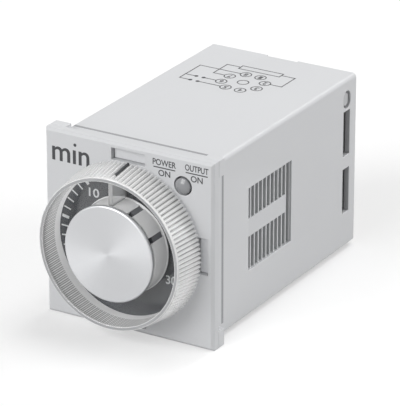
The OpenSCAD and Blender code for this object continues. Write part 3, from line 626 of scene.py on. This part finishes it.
class TIMER_OT_dial(bpy.types.Operator):
    """Finish the clear dial, its core, its cap and its painted ridge."""

    bl_idname = "timer.dial"
    bl_label = "Finish dial"

    # A face is flat if this much of its normal runs along the axis, and the floor is flat and near the back
    flat = 0.99
    floor_reach = 1.0 * MM

    # The hub, the fin and the cup's wall end at these radii
    hub_r = 9.4 * MM
    fin_r = 13.9 * MM
    wall_r = 14.2 * MM

    # The ridges, and painted shade in their valleys and in lines through the cup's wall: its depth and its bands
    ridges = 112
    valleys = (10 * MM, ((0.0, 0.22, 0.2, 1.0),))
    flanks = (3.9 * MM, ((0.05, 0.2, 0.95, 0.4), (0.28, 0.4, 0.4, 1.0)))

    # The painted ridge: its middle and half its width in pitches, its least radius and its paint's start
    ridge_middle = 0.5
    ridge_half = 0.35
    skirt_r = 14.3 * MM
    paint_from = 0.3

    # The smooth lip: its radii and its depth
    lip_in = 14.08 * MM
    lip_out = 14.84 * MM
    lip_back = 14.92 * MM
    lip_deep = 0.5 * MM

    # The fillet at the hub's foot: its radius, its width and the thickness of the floor that it stands on
    foot_r = 9.18 * MM
    foot_w = 0.3 * MM
    floor_t = 0.8 * MM

    def execute(self, context):
        look = context.scene.timer_dial
        frost = look.frost_colour
        # Frost makes the ridges and the wall glow pale, and polish lets the scale show through the floor
        # Ridges and wall carry painted shade in their colour: dark valleys outside, dark lines through the wall
        ridged = acrylic(
            "frosted_acrylic_ridges_painted_shade", frost, roughness=0.12, clear=0.12, through=0.75, glow=0.25,
            lines=(self.ridges, *self.valleys))
        others = (
            acrylic("frosted_acrylic_hub", frost, roughness=0.12, clear=0.25),
            acrylic("polished_acrylic_cup", look.cup_colour, roughness=0.03, clear=1.0, through=1.0),
            acrylic("hazed_acrylic_fin", frost, roughness=0.06, clear=0.7),
            acrylic(
                "frosted_acrylic_wall_painted_lines", frost, roughness=0.15, clear=0.06, through=0.5, glow=0.5,
                lines=(self.ridges, *self.flanks)),
        )
        knob = softened_node("dial_knob", ridged, look.ridge_edge)
        for finish in others:
            knob.data.materials.append(finish)
        for face in knob.data.polygons:
            face.material_index = self.finish_of(face)
        softened_node("knob_cap", spun_aluminium(look.cap_colour), look.cap_edge)
        grain = context.scene.timer_housing.grain
        paint("dial_core", moulded_plastic("moulded_abs_core", look.core_colour, grain))
        self.paint_ridge(look)
        self.add_hoops(look)
        return {"FINISHED"}

    def finish_of(self, face):
        """Index of a face's finish: 0 ridges, 1 hub, 2 floor of the cup, 3 fin, 4 wall of the cup."""
        if face.center.y > KNOB_HIGH.y - self.floor_reach and abs(face.normal.y) > self.flat:
            return 2
        r = (face.center - DIAL_AXIS).xz.length
        if r < self.hub_r:
            return 1
        if r < self.fin_r:
            return 3
        return 4 if r < self.wall_r else 0

    def add_hoops(self, look):
        """The smooth lip in front of the ridges and the fillet at the hub's foot."""
        bm = bmesh.new()
        rim = KNOB_LOW.y - INK_PROUD
        floor = KNOB_HIGH.y - self.floor_t
        lip = ((self.lip_in, rim), (self.lip_out, rim), (self.lip_back, rim + self.lip_deep),
               (self.lip_in, rim + self.lip_deep))
        foot = ((self.foot_r, floor - self.foot_w), (self.foot_r + self.foot_w, floor + INK_ROOT),
                (self.foot_r, floor + INK_ROOT))
        for profile in (lip, foot):
            corners = [bm.verts.new((DIAL_AXIS.x, y, DIAL_AXIS.z + r)) for r, y in profile]
            sides = [bm.edges.new((corners[i - 1], corners[i])) for i in range(len(corners))]
            bmesh.ops.spin(
                bm, geom=corners + sides, cent=DIAL_AXIS, axis=BACK, dvec=Vector(), angle=math.tau,
                steps=2 * self.ridges, use_merge=True)
        bmesh.ops.recalc_face_normals(bm, faces=bm.faces)
        edges = acrylic("frosted_acrylic_lip", look.frost_colour, roughness=0.12, clear=0.25)
        piece = finished("dial_lip", soften(bm, look.lip_edge), edges, "dial")
        front = acrylic("hazed_acrylic_lip", look.lip_colour, roughness=0.1, clear=0.3)
        piece.data.materials.append(front)
        for face in piece.data.polygons:
            face.material_index = int(abs(face.normal.y) > self.flat)

    def paint_ridge(self, look):
        """A film of paint on the ridge right of the fin, which points at the scale."""
        bm = merged("dial_knob")
        pitch = math.tau / self.ridges
        half = self.ridge_half * pitch
        middle = self.ridge_middle * pitch
        rest = []
        for face in bm.faces:
            across = face.calc_center_median() - DIAL_AXIS
            off = abs(math.atan2(across.x, across.z) - middle)
            outside = face.normal.dot(Vector((across.x, 0, across.z))) > 0
            level = abs(face.normal.y) > self.flat
            if off > half or not outside or level or across.xz.length < self.skirt_r:
                rest.append(face)
        bmesh.ops.delete(bm, geom=rest, context="FACES")
        cut = Vector((0, KNOB_LOW.y + self.paint_from * (KNOB_HIGH.y - KNOB_LOW.y), 0))
        bmesh.ops.bisect_plane(
            bm, geom=bm.verts[:] + bm.edges[:] + bm.faces[:], plane_co=cut, plane_no=-BACK,
            clear_outer=True)
        bmesh.ops.solidify(bm, geom=bm.faces[:], thickness=-INK_PROUD)
        bmesh.ops.recalc_face_normals(bm, faces=bm.faces)
        finished("pointer_paint", bm, printed_ink("dark_pointer_paint", look.scale_colour), "dial")


class TIMER_OT_lamp(bpy.types.Operator):
    """Finish the indicator's lens and the lamp behind it."""

    bl_idname = "timer.lamp"
    bl_label = "Finish indicator"

    def execute(self, context):
        look = context.scene.timer_housing
        tinted = acrylic("tinted_acrylic_lens", look.lens_colour, roughness=0.06, clear=0.35)
        softened_node("led_lens", tinted, look.lens_edge)
        # Milky resin: a dull pale body
        resin = grained(
            "diffused_lamp_resin", linear("#B8B8B4"), roughness=0.3, grain=0.3 * MM, depth=0.001 * MM)
        paint("indicator_led", resin)
        return {"FINISHED"}


class TIMER_OT_inside(bpy.types.Operator):
    """Finish the boards, the potentiometer and the relay inside the case."""

    bl_idname = "timer.inside"
    bl_label = "Finish inside"

    def execute(self, context):
        for node in ("front_board", "control_board", "power_board", "plug_board"):
            paint(node, glass_epoxy())
        # Metals: the name, colour and roughness of each piece's plating or alloy
        metals = {
            "pot_body": ("drawn_aluminium_casing", "#A2A3A5", 0.4),
            "pot_terminals": ("tinned_brass", "#C6C7C9", 0.3),
            "pot_nut": ("zinc_plated_steel", "#BEBFC1", 0.3),
            "pot_shaft": ("turned_steel", "#C2C3C5", 0.25),
            "pot_wiper": ("spring_bronze_wiper", "#C59B5A", 0.3),
            "relay_yoke": ("plated_soft_iron_yoke", "#8F9194", 0.4),
            "relay_core": ("plated_soft_iron_core", "#979A9D", 0.35),
            "relay_armature": ("plated_soft_iron_armature", "#9A9C9F", 0.38),
            "relay_contacts": ("bronze_contact_strip", "#C98F5A", 0.3),
            "relay_spring": ("bronze_leaf_spring", "#CDAE7A", 0.33),
            "moving_contact": ("bronze_contact_blade", "#CFA560", 0.33),
            "relay_coil": ("enamelled_copper_wire", "#A5592A", 0.35),
        }
        for node, (name, colour, roughness) in metals.items():
            paint(node, plated_metal(name, linear(colour), roughness))
        # Moulded and coated pieces: dull satins that differ in colour
        plastics = {
            "pot_track": ("phenolic_track_disc", "#4A3526"),
            "timer_chip": ("black_epoxy_chip", "#26272A"),
            "rectifier": ("black_epoxy_bridge", "#2B2B2E"),
            "dropper_resistor": ("cement_coated_resistor", "#8FA9B5"),
            "smoothing_capacitor": ("sleeved_aluminium_can", "#2F4A68"),
            "line_capacitor": ("moulded_film_box", "#C2A235"),
            "relay_base": ("moulded_relay_base", "#2F3A4A"),
            "relay_bobbin": ("moulded_bobbin", "#E0DBCB"),
        }
        for node, (name, colour) in plastics.items():
            plastic = grained(
                name, linear(colour), roughness=0.4, grain=0.3 * MM, depth=0.002 * MM)
            paint(node, plastic)
        return {"FINISHED"}


class TIMER_OT_terminals(bpy.types.Operator):
    """Print the numbered terminal diagram on the case."""

    bl_idname = "timer.terminals"
    bl_label = "Print terminal diagram"

    # The diagram reads from the plug's end: its centre is this far behind the face
    behind_face = 41.5 * MM

    # Pins stand in even steps on a circle, and pin 1 is half a step past the key
    pins = 8
    step = math.tau / pins
    circle_r = 4.2 * MM
    pin_r = 1.2 * MM
    line = 0.22 * MM
    number_h = 1.3 * MM
    number_w = 0.75 * MM
    weight = 0.02

    # The supply box
    box_w = 9.0 * MM
    box_h = 1.7 * MM
    box_y = -6.9 * MM

    # Leads of the supply box, the common lead of the contacts, their gap and their dots
    supply_x = 7.5 * MM
    common_x = 11.8 * MM
    gap_from = 7.8 * MM
    gap_to = 9.4 * MM
    contact_r = 0.4 * MM

    def execute(self, context):
        look = context.scene.timer_housing
        over = Vector((0, PLATE_LOW.y + self.behind_face, PLATE_HIGH.z + MM))
        middle = skin_at("case", over, -UP)
        drawing = bmesh.new()
        add_ring(drawing, 0, 0, self.pin_r, self.line)
        for pin in range(self.pins):
            turn = math.pi + self.step * (pin + 0.5)
            spot_x = self.circle_r * math.sin(turn)
            spot_y = self.circle_r * math.cos(turn)
            add_ring(drawing, spot_x, spot_y, self.pin_r, self.line)
            add_word(
                drawing, str(pin + 1), spot_x, spot_y, self.number_w, self.number_h, self.weight)
        near = self.circle_r * math.sin(self.step / 2)
        far = self.circle_r * math.cos(self.step / 2)
        for side in (-1, 1):
            add_bar(drawing, side * self.box_w / 2, self.box_y, self.line, self.box_h)
            add_bar(drawing, 0, self.box_y + side * self.box_h / 2, self.box_w + self.line, self.line)
            self.add_run(drawing, side * self.box_w / 2, self.box_y, side * self.supply_x, self.box_y)
            self.add_run(drawing, side * self.supply_x, self.box_y, side * self.supply_x, -near)
            self.add_run(drawing, side * self.supply_x, -near, side * (far + self.pin_r), -near)
        self.add_run(drawing, near + self.pin_r, -far, self.common_x, -far)
        self.add_run(drawing, self.common_x, -far, self.common_x, far)
        for start, height in ((far, near), (near, far)):
            self.add_run(drawing, start + self.pin_r, height, self.gap_from, height)
            self.add_run(drawing, self.gap_to, height, self.common_x, height)
            for end in (self.gap_from, self.gap_to):
                add_dot(drawing, end, height, self.contact_r)
        ink = printed_ink("dark_grey_ink_diagram", look.ink_colour)
        printed("terminal_print", drawing, plane(middle, -RIGHT, -BACK), ink, "housing")
        return {"FINISHED"}

    def add_run(self, bm, x0, y0, x1, y1):
        """A straight lead along X or Y."""
        width = abs(x1 - x0) + self.line
        height = abs(y1 - y0) + self.line
        add_bar(bm, (x0 + x1) / 2, (y0 + y1) / 2, width, height)


class TIMER_OT_stage(bpy.types.Operator):
    """Set up the floor, the lamps and the camera."""

    bl_idname = "timer.stage"
    bl_label = "Set up stage"

    # Half the floor's side, and how far the camera sees, in metres
    floor_half = 2.0
    view_far = 10.0

    # Lamps: their distance in metres, their directions from the object and their sizes
    lamp_far = 1.8
    key_way = Vector((-0.28, -0.84, 0.46))
    key_size = 1.2
    side_way = Vector((0.82, 0.4, 0.42))
    side_size = 1.2
    rim_way = Vector((0.1, 0.79, 0.6))
    rim_size = 0.4
    top_way = Vector((0.05, 0.25, 0.97))
    top_size = 0.6

    def execute(self, context):
        look = context.scene.timer_stage
        context.scene.view_settings.view_transform = "Standard"
        self.make_floor(look)
        self.make_world(context, look)
        self.make_lamp(context, "key_lamp", self.key_way, self.key_size, look.key_power)
        self.make_lamp(context, "side_lamp", self.side_way, self.side_size, look.side_power)
        self.make_lamp(context, "rim_lamp", self.rim_way, self.rim_size, look.rim_power)
        self.make_lamp(context, "top_lamp", self.top_way, self.top_size, look.top_power)
        self.make_camera(context, look)
        return {"FINISHED"}

    def make_floor(self, look):
        """A plain white floor that keeps the object's shadow."""
        bm = bmesh.new()
        bmesh.ops.create_grid(bm, x_segments=1, y_segments=1, size=self.floor_half)
        mesh = bpy.data.meshes.new("floor")
        bm.to_mesh(mesh)
        bm.free()
        mesh.materials.append(self.studio_board(look))
        floor = bpy.data.objects.new("floor", mesh)
        bpy.context.scene.collection.objects.link(floor)

    def studio_board(self, look):
        """Matt white board, which a view sees a little whiter than its light makes it."""
        material = new_material("matt_white_board")
        seen = seen_share(material)
        share = add_node(
            material, "Math", {"operation": "MULTIPLY", 1: look.floor_white}, {0: seen})
        tint = add_node(
            material, "Mix", {"data_type": "RGBA", 6: look.bounce_colour, 7: look.floor_colour}, {0: seen})
        matt = add_node(material, "BsdfDiffuse", links={"Color": tint.outputs[2]})
        white = add_node(material, "Emission", {"Color": (1, 1, 1, 1), "Strength": 1.0})
        mixed = add_node(material, "MixShader", links={
            0: share.outputs[0], 1: matt.outputs["BSDF"], 2: white.outputs["Emission"]})
        return finish_material(material, mixed.outputs["Shader"])

    def make_world(self, context, look):
        """Even light all round, which a view sees as white."""
        world = bpy.data.worlds.new("studio")
        world.use_nodes = True
        world.node_tree.nodes.clear()
        light = add_node(world, "Background", {"Color": (1, 1, 1, 1), "Strength": look.sky})
        white = add_node(world, "Background", {"Color": (1, 1, 1, 1), "Strength": 1.0})
        mixed = add_node(world, "MixShader", links={
            0: seen_share(world), 1: light.outputs["Background"], 2: white.outputs["Background"]})
        add_node(world, "OutputWorld", links={"Surface": mixed.outputs[0]})
        context.scene.world = world

    def make_lamp(self, context, name, way, size, power):
        """A square soft lamp that looks at the object from a direction."""
        data = bpy.data.lights.new(name, "AREA")
        data.size = size
        data.energy = power
        lamp = bpy.data.objects.new(name, data)
        lamp.location = way.normalized() * self.lamp_far
        lamp.rotation_euler = (-way).to_track_quat("-Z", "Y").to_euler()
        context.scene.collection.objects.link(lamp)

    def make_camera(self, context, look):
        """The camera at the photograph's viewing angle."""
        data = bpy.data.cameras.new("camera")
        data.lens = look.lens
        data.clip_end = self.view_far
        camera = bpy.data.objects.new("camera", data)
        level = math.cos(look.elevation)
        away = Vector((
            math.sin(look.azimuth) * level, -math.cos(look.azimuth) * level, math.sin(look.elevation)))
        camera.location = Vector(look.target) + away * look.distance
        camera.rotation_euler = (-away).to_track_quat("-Z", "Y").to_euler()
        context.scene.collection.objects.link(camera)
        context.scene.camera = camera


OPERATORS = (
    TIMER_OT_stage, TIMER_OT_case, TIMER_OT_face, TIMER_OT_scale, TIMER_OT_dial, TIMER_OT_lamp,
    TIMER_OT_inside, TIMER_OT_terminals,
)


class TIMER_PT_sidebar(bpy.types.Panel):
    """The timer's pieces and stage."""

    bl_idname = "TIMER_PT_sidebar"
    bl_label = "Panel timer"
    bl_space_type = "VIEW_3D"
    bl_region_type = "UI"
    bl_category = "Timer"

    def draw(self, context):
        for operator in OPERATORS:
            self.layout.operator(operator.bl_idname)


SETTINGS = {
    "timer_housing": TimerHousingSettings,
    "timer_dial": TimerDialSettings,
    "timer_stage": TimerStageSettings,
}


def register():
    for group in SETTINGS.values():
        bpy.utils.register_class(group)
    for operator in OPERATORS:
        bpy.utils.register_class(operator)
    bpy.utils.register_class(TIMER_PT_sidebar)
    for name, group in SETTINGS.items():
        setattr(bpy.types.Scene, name, bpy.props.PointerProperty(type=group))


def unregister():
    for name in SETTINGS:
        delattr(bpy.types.Scene, name)
    bpy.utils.unregister_class(TIMER_PT_sidebar)
    for operator in reversed(OPERATORS):
        bpy.utils.unregister_class(operator)
    for group in SETTINGS.values():
        bpy.utils.unregister_class(group)


def main():
    register()
    bpy.ops.timer.stage()
    bpy.ops.timer.case()
    bpy.ops.timer.face()
    bpy.ops.timer.scale()
    bpy.ops.timer.dial()
    bpy.ops.timer.lamp()
    bpy.ops.timer.inside()
    bpy.ops.timer.terminals()


if __name__ == "__main__":
    main()
